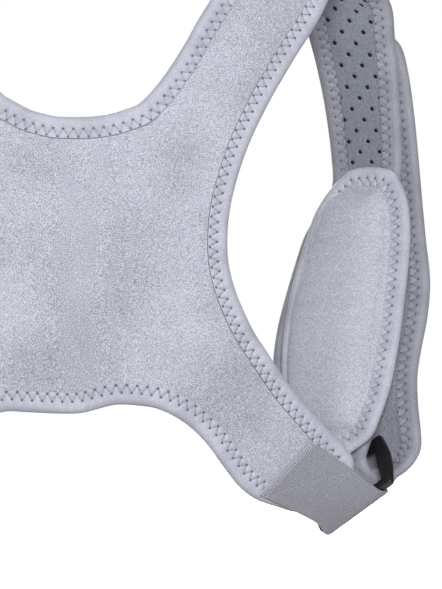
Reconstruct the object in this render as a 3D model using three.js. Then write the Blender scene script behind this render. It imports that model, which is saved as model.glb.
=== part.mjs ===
// Posture corrector: a soft back panel with two wide back straps. On each side a long strap runs over the
// shoulder, down the front, widens under the arm, narrows, passes through a plastic ring and folds back up
// on the outside. The ring hangs in a folded elastic band on the panel's lower lobe.
// Millimetres, +Z up, the wearer faces +Y, X = 0 is the mid plane and +X is the wearer's right.
// Table values are shares: x of halfSpan, y of loopDeep, z of strapRise.
import * as THREE from "three";

const halfSpan = 228; // mid plane to the outer edge of the folded-back strap
const loopDeep = 141; // middle of the back panel to the front of an arm loop
const strapRise = 306; // middle of the hem to the neck side of the shoulder tops

const clothThick = 3.5;
const tapeThick = 1;
const tapeWide = 13;
const tapeRound = 0.6; // share of the tape's thickness that is left where it turns round the edge
const fitGap = 0.3;

const backRadius = 322; // the panel's bow round the back
const bowEnd = 110; // from here outwards the panel runs straight
const twistLength = 75; // the lobe turns towards the ring over this length
const twistSlope = 0.84;
const twistAngle = 50; // degrees, way of the lobe down from the X axis

const ringLong = 63;
const ringHigh = 42;
const ringBar = 7;
const ringThick = 5;
const ringCorner = 9; // bend radius of the bar's middle
const ringChamfer = 1.4;
const ringLean = -0.1;

const webThick = 1.6;
const webOffset = 4.4; // webbing's middle to the lobe's middle, over the edge tape
const webFoldRadius = 5.4;
const webFoldLead = 6; // from the folded edge back to the bar's middle

const neckHalf = 22; // half the strap's width inside the ring
const neckRadius = 7.9; // strap's middle round the ring's upper bar
const neckDrop = 7; // the strap's fold hangs this far below the bar
const neckTilt = [12, 23]; // degrees flatter than the bar, where the strap enters the ring and where it leaves

const padRim = 3;
const padDome = 12;
const padOverhang = 9; // the pad bulges over its tape on the side away from the back
const padTopBulge = 6;
const padLowBulge = 4;
const tipBulge = 7;

const mountDeep = 62; // where the straps lie on the shoulders
const mountHigh = 290;

const panelColour = 0xb4b5be;
const strapColour = 0x9a9ca6;
const tapeColour = 0xbcbec8;
const padColour = 0xc6c8d2;
const webColour = 0xa3a3a8;
const ringColour = 0x111113;

// Neck and hem from the side to the middle, each [x, z].
const neckRight = [[0.154, 0.613], [0.123, 0.603], [0.092, 0.595], [0.061, 0.59], [0.031, 0.587], [0, 0.586]];
const neckLeft = [[0.164, 0.612], [0.129, 0.599], [0.096, 0.592], [0.064, 0.587], [0.031, 0.586], [0, 0.586]];
const hemRight = [[0.253, -0.011], [0.202, 0.007], [0.149, 0.014], [0.092, 0.016], [0.044, 0.008], [0, 0]];
const hemLeft = [[0.253, -0.011], [0.202, 0.003], [0.149, 0.002], [0.092, 0], [0.044, -0.001], [0, 0]];
// Waist between the strap's foot and the lobe's, downwards, each [x, z].
const waist = [[0.399, 0.399], [0.393, 0.35], [0.396, 0.297], [0.412, 0.248], [0.436, 0.203]];

// Back strap from its foot up, each [arm x, arm z, neck x, neck z].
const backStrap = [
  [0.414, 0.451, 0.154, 0.613],
  [0.45, 0.531, 0.209, 0.656],
  [0.509, 0.621, 0.273, 0.727],
  [0.55, 0.673, 0.315, 0.783],
];
// The left strap's neck edge next to its foot lies a little lower: [neck x, neck z] of the first rows.
const backStrapLeft = [[0.164, 0.612], [0.214, 0.636], [0.278, 0.703], [0.315, 0.775]];
// Back strap's way to the shoulder top, each [arm x, y, z, neck x, y, z].
const backStrapTop = [
  [0.585, 0.188, 0.716, 0.346, 0.068, 0.82],
  [0.645, 0.227, 0.784, 0.399, 0.113, 0.886],
  [0.689, 0.291, 0.85, 0.443, 0.191, 0.941],
  [0.715, 0.369, 0.892, 0.474, 0.305, 0.98],
  [0.737, 0.4455, 0.918, 0.497, 0.439, 1],
];
// Lower lobe outwards, each [arm x, arm z, hem x, hem z].
const lobe = [
  [0.469, 0.154, 0.253, -0.011],
  [0.496, 0.124, 0.294, -0.033],
  [0.527, 0.089, 0.336, -0.065],
  [0.562, 0.052, 0.378, -0.109],
  [0.619, 0.002, 0.424, -0.154],
  [0.675, -0.044, 0.472, -0.183],
  [0.722, -0.079, 0.534, -0.203],
  [0.748, -0.108, 0.575, -0.214],
  [0.75, -0.131, 0.609, -0.22],
];

// Front strap from the shoulder top down to the ring, each [neck side x, y, z, arm side x, y, z].
const frontStrap = [
  [0.497, 0.4415, 1, 0.737, 0.448, 0.918],
  [0.513, 0.582, 0.993, 0.768, 0.539, 0.918],
  [0.539, 0.695, 0.964, 0.807, 0.624, 0.905],
  [0.583, 0.759, 0.915, 0.855, 0.695, 0.882],
  [0.632, 0.794, 0.853, 0.895, 0.745, 0.843],
  [0.661, 0.83, 0.778, 0.905, 0.745, 0.776],
  [0.684, 0.872, 0.725, 0.912, 0.742, 0.722],
  [0.711, 0.912, 0.645, 0.919, 0.733, 0.641],
  [0.735, 0.926, 0.526, 0.924, 0.719, 0.525],
  [0.735, 0.898, 0.454, 0.92, 0.705, 0.454],
  [0.698, 0.889, 0.405, 0.926, 0.671, 0.405],
  [0.65, 0.876, 0.351, 0.934, 0.642, 0.351],
  [0.62, 0.853, 0.297, 0.934, 0.608, 0.297],
  [0.589, 0.826, 0.232, 0.921, 0.565, 0.234],
  [0.555, 0.783, 0.147, 0.904, 0.508, 0.15],
  [0.541, 0.748, 0.077, 0.879, 0.465, 0.084],
  [0.545, 0.702, -0.003, 0.851, 0.403, 0.008],
  [0.576, 0.656, -0.065, 0.82, 0.379, -0.054],
  [0.65, 0.589, -0.14, 0.805, 0.369, -0.073],
];
// Folded-back layer from the ring up to its tip, same columns.
const returnStrap = [
  [0.712, 0.61, -0.162, 0.866, 0.358, -0.147],
  [0.715, 0.621, -0.144, 0.899, 0.355, -0.139],
  [0.716, 0.624, -0.127, 0.928, 0.355, -0.119],
  [0.718, 0.628, -0.101, 0.945, 0.355, -0.092],
  [0.718, 0.635, -0.056, 0.945, 0.365, -0.052],
  [0.713, 0.652, -0.005, 0.943, 0.411, -0.005],
  [0.709, 0.681, 0.054, 0.947, 0.475, 0.054],
  [0.718, 0.716, 0.102, 0.96, 0.518, 0.102],
  [0.738, 0.755, 0.178, 0.984, 0.562, 0.178],
  [0.752, 0.812, 0.253, 0.997, 0.617, 0.253],
  [0.752, 0.884, 0.342, 0.991, 0.685, 0.342],
  [0.751, 0.952, 0.426, 0.983, 0.721, 0.426],
  [0.745, 0.99, 0.526, 0.974, 0.755, 0.526],
  [0.728, 0.984, 0.608, 0.964, 0.766, 0.608],
  [0.702, 0.955, 0.707, 0.947, 0.787, 0.707],
  [0.703, 0.925, 0.76, 0.928, 0.807, 0.76],
  [0.722, 0.908, 0.785, 0.9, 0.83, 0.785],
];
// Underarm pad downwards, same columns.
const padRows = [
  [0.761, 0.825, 0.478, 0.905, 0.668, 0.477],
  [0.725, 0.849, 0.448, 0.923, 0.637, 0.447],
  [0.683, 0.837, 0.4, 0.935, 0.603, 0.4],
  [0.65, 0.817, 0.346, 0.936, 0.581, 0.347],
  [0.625, 0.795, 0.297, 0.93, 0.555, 0.298],
  [0.597, 0.764, 0.232, 0.917, 0.512, 0.235],
  [0.571, 0.714, 0.147, 0.898, 0.456, 0.152],
  [0.562, 0.681, 0.084, 0.88, 0.414, 0.091],
  [0.564, 0.637, 0.021, 0.858, 0.365, 0.03],
  [0.584, 0.592, -0.031, 0.831, 0.332, -0.021],
  [0.618, 0.533, -0.075, 0.802, 0.318, -0.066],
  [0.656, 0.44, -0.107, 0.745, 0.338, -0.1],
];

// Webbing's sewn edge and folded edge, each [x, z].
const webSewn = [[0.475, -0.169], [0.619, -0.065]];
const webFolded = [[0.712, -0.255], [0.841, -0.175]];

const vec = (x, y, z) => new THREE.Vector3(x, y, z);
const place = (x, y, z) => vec(x * halfSpan, y * loopDeep, z * strapRise);
const between = (a, b, share) => a.clone().lerp(b, share);
const along = (from, way, length) => from.clone().addScaledVector(way, length);

// Way out of the cloth along the seam at a shoulder top, the same for both pieces that meet there.
function seamNormal(side) {
  const [seam, next, last] = [frontStrap[0], frontStrap[1], backStrapTop.at(-2)];
  const across = place(seam[3] - seam[0], seam[4] - seam[1], seam[5] - seam[2]);
  const sum = (row, k) => row[k] + row[k + 3];
  const onward = place(...[0, 1, 2].map((k) => sum(next, k) - sum(last, k)));
  const way = across.cross(onward).normalize();
  return vec(way.x * side, way.y, way.z);
}

const webMid = [0, 1].map((k) => 0.5 * (webFolded[0][k] + webFolded[1][k]) * [halfSpan, strapRise][k]);

function panelDepth(x, z) {
  const out = Math.abs(x);
  const bow = out < bowEnd ? out ** 2 / (2 * backRadius) : (bowEnd * (2 * out - bowEnd)) / (2 * backRadius);
  const turn = THREE.MathUtils.degToRad(twistAngle);
  const down = Math.cos(turn) * (out - webMid[0]) - Math.sin(turn) * (z - webMid[1]);
  const side = Math.sin(turn) * (out - webMid[0]) + Math.cos(turn) * (z - webMid[1]);
  return bow - side * twistSlope * Math.max(0, (down + twistLength) / twistLength) ** 2;
}
const onPanel = (x, z) => vec(x, panelDepth(x, z), z);
const panelPoint = (x, z, side = 1) => onPanel(x * halfSpan * side, z * strapRise);

// Points joined by four-sided cells; cells are turned to face one way before use.
class Patch {
  constructor() {
    this.points = [];
    this.cells = [];
  }
  add(point) {
    this.points.push(point);
    return this.points.length - 1;
  }
  fill(rows) {
    for (let i = 1; i < rows.length; i++)
      for (let j = 1; j < rows[i].length; j++)
        this.cells.push([rows[i - 1][j - 1], rows[i - 1][j], rows[i][j], rows[i][j - 1]]);
  }
  settle(facing) {
    const owners = new Map();
    const key = (a, b) => (a < b ? a + "_" + b : b + "_" + a);
    this.cells.forEach((cell, c) => cell.forEach((a, k) => {
      const name = key(a, cell[(k + 1) % 4]);
      owners.set(name, [...(owners.get(name) ?? []), c]);
    }));
    const seen = new Set([0]);
    const open = [0];
    while (open.length) {
      const cell = this.cells[open.pop()];
      for (let k = 0; k < 4; k++) {
        const a = cell[k];
        const b = cell[(k + 1) % 4];
        for (const c of owners.get(key(a, b))) {
          if (seen.has(c)) continue;
          const other = this.cells[c];
          if (other[(other.indexOf(a) + 1) % 4] === b) other.reverse();
          seen.add(c);
          open.push(c);
        }
      }
    }
    const turn = (cell) => {
      const [a, b, c, d] = cell.map((i) => this.points[i]);
      return c.clone().sub(a).cross(d.clone().sub(b));
    };
    if (turn(this.cells[0]).dot(facing) < 0) this.cells.forEach((cell) => cell.reverse());
    this.normals = this.points.map(() => vec(0, 0, 0));
    for (const cell of this.cells) {
      const way = turn(cell);
      for (const i of cell) this.normals[i].add(way);
    }
    this.normals.forEach((way) => way.normalize());
    return this;
  }
  // Normals along a seam, kept on the side that they are on.
  straighten(indices, way) {
    for (const i of indices) this.normals[i] = way.clone().multiplyScalar(Math.sign(way.dot(this.normals[i])));
  }
  // A closed body from below to above the points, along their normals; lean moves the upper points sideways.
  body(below, above, lean = () => vec(0, 0, 0)) {
    const count = this.points.length;
    const corners = [
      ...this.points.map((p, i) => along(p, this.normals[i], above(i)).add(lean(i))),
      ...this.points.map((p, i) => along(p, this.normals[i], -below(i))),
    ];
    const faces = [];
    const walked = new Set();
    for (const cell of this.cells) {
      const [a, b, c, d] = cell.map((i) => this.points[i]);
      const split = a.distanceTo(c) <= b.distanceTo(d);
      faces.push([...cell, split], [...cell.map((i) => i + count).reverse(), !split]);
      cell.forEach((a, k) => walked.add(a + "_" + cell[(k + 1) % 4]));
    }
    for (const cell of this.cells)
      cell.forEach((a, k) => {
        const b = cell[(k + 1) % 4];
        if (!walked.has(b + "_" + a)) faces.push([b, a, a + count, b + count]);
      });
    return solid(corners, faces);
  }
}

// Faces are four corners each and, where it matters, whether the first and third are joined.
function solid(corners, faces) {
  const index = [];
  for (const [a, b, c, d, split] of faces) {
    const first = split ?? corners[a].distanceTo(corners[c]) <= corners[b].distanceTo(corners[d]);
    index.push(...(first ? [a, b, c, a, c, d] : [a, b, d, b, c, d]));
  }
  let volume = 0;
  for (let i = 0; i < index.length; i += 3)
    volume += corners[index[i]].dot(corners[index[i + 1]].clone().cross(corners[index[i + 2]]));
  if (volume < 0) index.reverse();
  const geometry = new THREE.BufferGeometry();
  const values = corners.flatMap((p) => [p.x, p.y - mountDeep, p.z - mountHigh]);
  geometry.setAttribute("position", new THREE.Float32BufferAttribute(values, 3));
  geometry.setIndex(index);
  return geometry;
}

function mirrored(geometry) {
  const copy = geometry.clone();
  const position = copy.attributes.position;
  for (let i = 0; i < position.count; i++) position.setX(i, -position.getX(i));
  copy.setIndex([...copy.index.array].reverse());
  return copy;
}

// Cloth edge and the line under the tape's inner edge, from an outline and a point inwards of each of its points.
function underTape(outline, inwards, closed) {
  const count = outline.length;
  return outline.map((p, i) => {
    const next = outline[closed ? (i + 1) % count : Math.min(i + 1, count - 1)];
    const last = outline[closed ? (i + count - 1) % count : Math.max(i - 1, 0)];
    const way = next.clone().sub(last).normalize();
    const inner = inwards[i].clone().sub(p);
    const free = !closed && (i === 0 || i === count - 1);
    inner.addScaledVector(way, free ? 0 : -inner.dot(way)).normalize();
    return { edge: along(p, inner, fitGap + tapeThick), inset: along(p, inner, tapeWide) };
  });
}

// Tape folded round an edge: stations are [edge index, inset index] of a settled patch.
function tape(patch, stations, closed, thick = clothThick) {
  const high = thick / 2 + fitGap;
  const corners = stations.flatMap(([e, q]) => {
    const [edge, inset, up, inUp] = [patch.points[e], patch.points[q], patch.normals[e], patch.normals[q]];
    const out = edge.clone().sub(inset).normalize();
    const near = along(edge, out, fitGap);
    const far = along(edge, out, fitGap + tapeThick);
    return [
      along(inset, inUp, high), along(near, up, high), along(near, up, -high), along(inset, inUp, -high),
      along(inset, inUp, -high - tapeThick), along(far, up, -high - tapeRound * tapeThick),
      along(far, up, high + tapeRound * tapeThick), along(inset, inUp, high + tapeThick),
    ];
  });
  const faces = [];
  const count = stations.length;
  for (let i = 0; i < (closed ? count : count - 1); i++) {
    const j = (i + 1) % count;
    const [[e, q], [nextE, nextQ]] = [stations[i], stations[j]].map((pair) => pair.map((n) => patch.points[n]));
    const split = q.distanceTo(nextE) <= e.distanceTo(nextQ);
    for (let k = 0; k < 8; k++) {
      const kind = k === 0 ? split : k === 2 ? !split : undefined;
      faces.push([8 * i + k, 8 * i + ((k + 1) % 8), 8 * j + ((k + 1) % 8), 8 * j + k, kind]);
    }
  }
  if (!closed)
    for (const [a, b, c, d] of [[0, 1, 6, 7], [1, 2, 5, 6], [2, 3, 4, 5]]) {
      const end = 8 * (count - 1);
      faces.push([d, c, b, a], [end + a, end + b, end + c, end + d]);
    }
  return solid(corners, faces);
}

// Outline points across a rounded end, from the row's first side to its second.
function endPoints([first, second], beyond, bulge, cells) {
  const across = second.clone().sub(first);
  const way = first.clone().add(second).multiplyScalar(0.5).sub(beyond);
  way.addScaledVector(across, -way.dot(across) / across.lengthSq()).normalize();
  return Array.from({ length: cells - 1 }, (_, k) => {
    const share = (k + 1) / cells;
    return along(between(first, second, share), way, bulge * Math.sqrt(1 - (2 * share - 1) ** 2));
  });
}

// A taped band through rows of [first side, second side]; bulges round off its start and end.
function band(rows, cells, { startBulge = 0, endBulge = 0 }) {
  const patch = new Patch();
  const count = rows.length;
  const mid = (row) => between(row[0], row[1], 0.5);
  const start = startBulge ? endPoints(rows[0], mid(rows[1]), startBulge, cells) : [];
  const end = endBulge ? endPoints(rows[count - 1], mid(rows[count - 2]), endBulge, cells) : [];
  const outline = [
    ...rows.map((row) => row[0]), ...end, ...rows.map((row) => row[1]).reverse(), ...start.slice().reverse(),
  ];
  const inwards = [
    ...rows.map(mid), ...end.map(() => mid(rows[count - 2])),
    ...rows.map(mid).reverse(), ...start.map(() => mid(rows[1])),
  ];
  const closed = Boolean(startBulge);
  const lines = underTape(outline, inwards, closed);
  const stations = lines.map(({ edge, inset }) => [patch.add(edge), patch.add(inset)]);
  const first = stations.slice(0, count);
  const second = stations.slice(count + end.length, 2 * count + end.length).reverse();
  const core = rows.map((row, i) => {
    const insets = (part) => part.map((pair) => pair[1]);
    if (endBulge && i === count - 1) return insets(stations.slice(count - 1, count + end.length + 1));
    if (startBulge && i === 0) return insets([first[0], ...stations.slice(2 * count + end.length).reverse(), second[0]]);
    const [a, b] = [first[i][1], second[i][1]];
    const line = [a];
    for (let k = 1; k < cells; k++) line.push(patch.add(between(patch.points[a], patch.points[b], k / cells)));
    return [...line, b];
  });
  patch.fill(core);
  patch.fill(endBulge ? stations : first);
  if (!endBulge) patch.fill(second);
  if (closed) patch.fill([stations[stations.length - 1], stations[0]]);
  return { patch, stations, first, second, core, closed };
}

function backPanel() {
  const patch = new Patch();
  const acrossStrap = 4;
  const strapRows = (side) => {
    const low = backStrap.map(([ax, az, nx, nz], i) => {
      const [x, z] = side > 0 ? [nx, nz] : backStrapLeft[i];
      return [panelPoint(ax, az, side), panelPoint(x, z, side)];
    });
    const high = backStrapTop.map((r) => [place(r[0] * side, r[1], r[2]), place(r[3] * side, r[4], r[5])]);
    return [...low, ...high];
  };
  const lobeRows = (side) => lobe.map(([ax, az, hx, hz]) => [panelPoint(ax, az, side), panelPoint(hx, hz, side)]);
  const inner = (table, side) => table.slice(1).map(([x, z]) => panelPoint(x, z, side));

  // An arm edge from the shoulder down to the lobe's tip.
  const armEdge = (side) => {
    const strap = strapRows(side).reverse();
    const foot = lobeRows(side);
    const rim = waist.map(([x, z]) => panelPoint(x, z, side));
    const outline = [...strap.map((r) => r[0]), ...rim, ...foot.map((r) => r[0])];
    const inwards = [...strap.map((r) => r[1]), ...rim.map((p) => vec(0, p.y, p.z)), ...foot.map((r) => r[1])];
    return { outline, inwards, strap: strap.length, rim: rim.length };
  };
  const stationsOf = ({ outline, inwards }) => underTape(outline, inwards, false).map(({ edge, inset }) => {
    const flat = (p) => (p.z < backStrap.at(-1)[3] * strapRise - tapeWide ? onPanel(p.x, p.z) : p);
    return [patch.add(flat(edge)), patch.add(flat(inset))];
  });

  const arm = { right: armEdge(1), left: armEdge(-1) };
  const armStations = { right: stationsOf(arm.right), left: stationsOf(arm.left) };
  // Neck from the right shoulder round to the left one, hem from the right tip to the left tip.
  const straps = { right: strapRows(1).reverse(), left: strapRows(-1) };
  const neckMid = [...inner(neckRight, 1), ...inner(neckLeft, -1).reverse().slice(1)];
  const neckStations = stationsOf({
    outline: [...straps.right.map((r) => r[1]), ...neckMid, ...straps.left.map((r) => r[1])],
    inwards: [...straps.right.map((r) => r[0]), ...neckMid.map((p) => vec(p.x, p.y, 0)), ...straps.left.map((r) => r[0])],
  });
  const feet = { right: lobeRows(1).reverse(), left: lobeRows(-1) };
  const hemMid = [...inner(hemRight, 1), ...inner(hemLeft, -1).reverse().slice(1)];
  const hemStations = stationsOf({
    outline: [...feet.right.map((r) => r[1]), ...hemMid, ...feet.left.map((r) => r[1])],
    inwards: [...feet.right.map((r) => r[0]), ...hemMid.map((p) => vec(p.x, p.y, strapRise)), ...feet.left.map((r) => r[0])],
  });

  // Inside of the tapes: straps and lobes from arm edge to inner edge.
  const line = (a, b, lift) => {
    const row = [a];
    for (let k = 1; k < acrossStrap; k++) {
      const p = between(patch.points[a], patch.points[b], k / acrossStrap);
      row.push(patch.add(lift(p)));
    }
    return [...row, b];
  };
  const lifted = (p) => onPanel(p.x, p.z);
  const cores = {};
  for (const side of ["right", "left"]) {
    const n = arm[side].strap;
    const neckPart = side === "right" ? neckStations.slice(0, n) : neckStations.slice(-n).reverse();
    const strapCore = neckPart.map(([, q], i) => line(armStations[side][i][1], q, i > backStrapTop.length ? lifted : (p) => p));
    const m = lobe.length;
    const start = n + arm[side].rim;
    const hemPart = side === "right" ? hemStations.slice(0, m).reverse() : hemStations.slice(-m);
    const lobeCore = hemPart.map(([, q], i) => line(armStations[side][start + i][1], q, lifted));
    cores[side] = { strapCore, lobeCore, rim: armStations[side].slice(n - 1, start + 1).map((s) => s[1]) };
    patch.fill(strapCore);
    patch.fill(lobeCore);
  }
  // Middle block between the straps' feet, the lobes' feet, neck and hem.
  const n = arm.right.strap;
  const m = lobe.length;
  const top = [
    ...cores.right.strapCore[n - 1], ...neckStations.slice(n, -n).map((s) => s[1]),
    ...cores.left.strapCore[n - 1].slice().reverse(),
  ];
  const low = [
    ...cores.right.lobeCore[0], ...hemStations.slice(m, -m).map((s) => s[1]), ...cores.left.lobeCore[0].slice().reverse(),
  ];
  const [sideA, sideB] = [cores.right.rim, cores.left.rim];
  const down = sideA.length - 1;
  const wide = top.length - 1;
  const block = sideA.map((a, i) => {
    if (i === 0) return top;
    if (i === down) return low;
    const row = [a];
    const v = i / down;
    for (let j = 1; j < wide; j++) {
      const u = j / wide;
      const get = (index) => patch.points[index];
      const p = vec(0, 0, 0);
      p.addScaledVector(get(top[j]), 1 - v).addScaledVector(get(low[j]), v);
      p.addScaledVector(get(a), 1 - u).addScaledVector(get(sideB[i]), u);
      p.addScaledVector(get(top[0]), -(1 - u) * (1 - v)).addScaledVector(get(top[wide]), -u * (1 - v));
      p.addScaledVector(get(low[0]), -(1 - u) * v).addScaledVector(get(low[wide]), -u * v);
      row.push(patch.add(onPanel(p.x, p.z)));
    }
    return [...row, sideB[i]];
  });
  patch.fill(block);
  for (const stations of [armStations.right, armStations.left, neckStations, hemStations]) patch.fill(stations);
  patch.settle(vec(0, -1, 0.3));
  patch.straighten([...cores.right.strapCore[0], armStations.right[0][0], neckStations[0][0]], seamNormal(1));
  patch.straighten([...cores.left.strapCore[0], armStations.left[0][0], neckStations.at(-1)[0]], seamNormal(-1));
  return { patch, armStations, neckStations, hemStations };
}

// The webbing's middle, s from the sewn to the folded edge and w from its lower to its upper side.
function webPoint(s, w) {
  const mix = (k) => {
    const sewn = (1 - w) * webSewn[0][k] + w * webSewn[1][k];
    const folded = (1 - w) * webFolded[0][k] + w * webFolded[1][k];
    return (1 - s) * sewn + s * folded;
  };
  return panelPoint(mix(0), mix(1));
}
const webLength = webPoint(0, 0.5).distanceTo(webPoint(1, 0.5));
const foldShare = 1 - webFoldLead / webLength;

// The ring's frame: bar along the webbing's fold, rise across the ring.
function ringFrame() {
  const [low, high] = [webPoint(foldShare, 0), webPoint(foldShare, 1)];
  const bar = high.clone().sub(low).normalize();
  const rise = vec(ringLean, -(ringLean * bar.x + bar.z) / bar.y, 1).normalize();
  const face = bar.clone().cross(rise);
  const lower = between(between(low, high, 0.5), webPoint(foldShare, 0.5), 0.5);
  return { bar, rise, face, lower, upper: along(lower, rise, ringHigh - ringBar) };
}

function ring() {
  const { bar, rise, face, lower, upper } = ringFrame();
  const middle = between(lower, upper, 0.5);
  const [halfLong, halfHigh] = [(ringLong - ringBar) / 2, (ringHigh - ringBar) / 2];
  const path = [];
  const steps = 4;
  for (const [sx, sy, from] of [[1, 1, 0], [-1, 1, 90], [-1, -1, 180], [1, -1, 270]])
    for (let k = 0; k <= steps; k++) {
      const angle = THREE.MathUtils.degToRad(from + (90 * k) / steps);
      const [x, y] = [sx * (halfLong - ringCorner), sy * (halfHigh - ringCorner)];
      path.push([x + ringCorner * Math.cos(angle), y + ringCorner * Math.sin(angle), angle]);
    }
  const [a, b, cut] = [ringBar / 2, ringThick / 2, ringChamfer];
  const section = [
    [a, -b + cut], [a, b - cut], [a - cut, b], [-a + cut, b],
    [-a, b - cut], [-a, -b + cut], [-a + cut, -b], [a - cut, -b],
  ];
  const corners = path.flatMap(([x, y, angle]) => section.map(([out, high]) => {
    const point = along(middle, bar, x + out * Math.cos(angle));
    return along(along(point, rise, y + out * Math.sin(angle)), face, high);
  }));
  const faces = [];
  path.forEach((_, i) => section.forEach((__, k) => {
    const [j, l] = [(i + 1) % path.length, (k + 1) % section.length];
    faces.push([8 * i + k, 8 * i + l, 8 * j + l, 8 * j + k]);
  }));
  return solid(corners, faces);
}

function webbing() {
  const patch = new Patch();
  const acrossCells = 3;
  const legCells = 7;
  const foldCells = 8;
  const frameAt = (s, w) => {
    const step = 0.02;
    const down = webPoint(s + step, w).sub(webPoint(s - step, w)).normalize();
    const side = webPoint(s, w + step).sub(webPoint(s, w - step)).normalize();
    const out = side.cross(down).normalize();
    if (out.y > 0) out.negate();
    return { down, out };
  };
  const rows = [];
  const shares = Array.from({ length: acrossCells + 1 }, (_, j) => j / acrossCells);
  const stationRow = (make) => rows.push(shares.map((w) => patch.add(make(w))));
  const leg = (side) => (k) => stationRow((w) => {
    const s = (foldShare * k) / legCells;
    const offset = webOffset + (webFoldRadius - webOffset) * (k / legCells) ** 2;
    return along(webPoint(s, w), frameAt(s, w).out, side * offset);
  });
  for (let k = 0; k < legCells; k++) leg(1)(k);
  for (let k = 0; k <= foldCells; k++)
    stationRow((w) => {
      const { down, out } = frameAt(foldShare, w);
      const angle = (Math.PI * k) / foldCells;
      const point = along(webPoint(foldShare, w), out, webFoldRadius * Math.cos(angle));
      return along(point, down, webFoldRadius * Math.sin(angle));
    });
  for (let k = legCells - 1; k >= 0; k--) leg(-1)(k);
  patch.fill(rows);
  patch.settle(vec(0, -1, 0));
  return patch.body(() => webThick / 2, () => webThick / 2);
}

function strapBand() {
  const rowOf = (r) => [place(r[0], r[1], r[2]), place(r[3], r[4], r[5])];
  const { bar, rise, face, upper } = ringFrame();
  const centre = along(upper, rise, -neckDrop);
  const foldCells = 8;
  const fold = Array.from({ length: foldCells + 1 }, (_, k) => {
    const tilt = THREE.MathUtils.degToRad(neckTilt[0] + ((neckTilt[1] - neckTilt[0]) * k) / foldCells);
    const line = bar.clone().multiplyScalar(Math.cos(tilt)).addScaledVector(rise, -Math.sin(tilt));
    const drop = rise.clone().multiplyScalar(-Math.cos(tilt)).addScaledVector(bar, -Math.sin(tilt));
    const angle = (Math.PI * k) / foldCells;
    const p = along(along(centre, face, neckRadius * Math.cos(angle)), drop, neckRadius * Math.sin(angle));
    return [along(p, line, -neckHalf), along(p, line, neckHalf)];
  });
  const rows = [...frontStrap.map(rowOf), ...fold, ...returnStrap.map(rowOf)];
  const made = band(rows, 3, { endBulge: tipBulge });
  made.patch.settle(vec(0, 0, -1));
  made.patch.straighten([...made.core[0], made.first[0][0], made.second[0][0]], seamNormal(1));
  return made;
}

function padBand() {
  const rows = padRows.map((r) => [place(r[0], r[1], r[2]), place(r[3], r[4], r[5])]);
  const made = band(rows, 6, { startBulge: padTopBulge, endBulge: padLowBulge });
  made.patch.settle(vec(0, -1, 0));
  return made;
}

const group = new THREE.Group();
group.name = "posture_corrector";
function addPiece(name, geometry, colour, roughness = 0.95) {
  const material = new THREE.MeshStandardMaterial({ color: colour, roughness, metalness: 0, flatShading: true });
  const mesh = new THREE.Mesh(geometry, material);
  mesh.name = name;
  group.add(mesh);
}
function addPair(name, geometry, colour, roughness) {
  addPiece(name + "_right", geometry, colour, roughness);
  addPiece(name + "_left", mirrored(geometry), colour, roughness);
}

const half = () => clothThick / 2;
const panel = backPanel();
addPiece("back_panel", panel.patch.body(half, half), panelColour);
addPiece("neck_binding", tape(panel.patch, panel.neckStations, false), tapeColour);
addPiece("hem_binding", tape(panel.patch, panel.hemStations, false), tapeColour);
addPiece("armhole_binding_right", tape(panel.patch, panel.armStations.right, false), tapeColour);
addPiece("armhole_binding_left", tape(panel.patch, panel.armStations.left, false), tapeColour);

const strap = strapBand();
addPair("shoulder_strap", strap.patch.body(half, half), strapColour);
addPair("strap_binding", tape(strap.patch, strap.stations, false), tapeColour);

const pad = padBand();
const dome = new Map();
const leaning = new Map();
pad.core.forEach((row, i) => {
  const [first, last] = [pad.patch.points[row[0]], pad.patch.points[row.at(-1)]];
  const outwards = first.clone().sub(last).normalize();
  row.forEach((point, j) => {
    const [u, v] = [(2 * j) / (row.length - 1) - 1, (2 * i) / (pad.core.length - 1) - 1];
    const share = Math.sqrt(Math.max(0, (1 - u ** 4) * (1 - v ** 4)));
    dome.set(point, padDome * share);
    leaning.set(point, outwards.clone().multiplyScalar(padOverhang * share ** 2 * Math.max(0, -u)));
  });
});
const padHigh = (i) => padRim / 2 + (dome.get(i) ?? 0);
const padLean = (i) => leaning.get(i) ?? vec(0, 0, 0);
addPair("underarm_pad", pad.patch.body(() => padRim / 2, padHigh, padLean), padColour);
addPair("pad_binding", tape(pad.patch, pad.stations, true, padRim), tapeColour);

addPair("webbing", webbing(), webColour);
addPair("ring", ring(), ringColour, 0.4);

export default group;
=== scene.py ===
import math
import bmesh
import bpy
from mathutils import Matrix, Vector, noise


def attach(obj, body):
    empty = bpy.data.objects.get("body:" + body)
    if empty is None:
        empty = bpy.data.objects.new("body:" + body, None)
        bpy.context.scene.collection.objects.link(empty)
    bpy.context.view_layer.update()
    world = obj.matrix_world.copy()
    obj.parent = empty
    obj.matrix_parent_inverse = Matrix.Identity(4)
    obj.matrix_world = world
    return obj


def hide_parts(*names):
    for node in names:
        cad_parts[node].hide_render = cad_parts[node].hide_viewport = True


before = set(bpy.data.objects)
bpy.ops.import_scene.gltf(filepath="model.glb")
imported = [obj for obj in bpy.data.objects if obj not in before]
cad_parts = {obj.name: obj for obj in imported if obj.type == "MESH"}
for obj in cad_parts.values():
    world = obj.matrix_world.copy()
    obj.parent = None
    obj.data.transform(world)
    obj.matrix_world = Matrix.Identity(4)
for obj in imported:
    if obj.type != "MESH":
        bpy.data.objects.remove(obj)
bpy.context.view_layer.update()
print("frame loaded,", len(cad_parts), "nodes")

# Table values are shares: x of halfSpan, y of loopDeep, z of strapRise. Other lengths are in metres.
brace = {
    "halfSpan": 0.228,
    "loopDeep": 0.141,
    "strapRise": 0.306,
    "mountDeep": 0.062,
    "mountHigh": 0.290,
    "cloth": 0.0035,
    "fineness": 4,  # rows made between two rows of a table
}


# small helpers
def spot(x, y, z):
    deep = y * brace["loopDeep"] - brace["mountDeep"]
    return Vector((x * brace["halfSpan"], deep, z * brace["strapRise"] - brace["mountHigh"]))


def between(share):
    return max(0, min(1, share))


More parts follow.
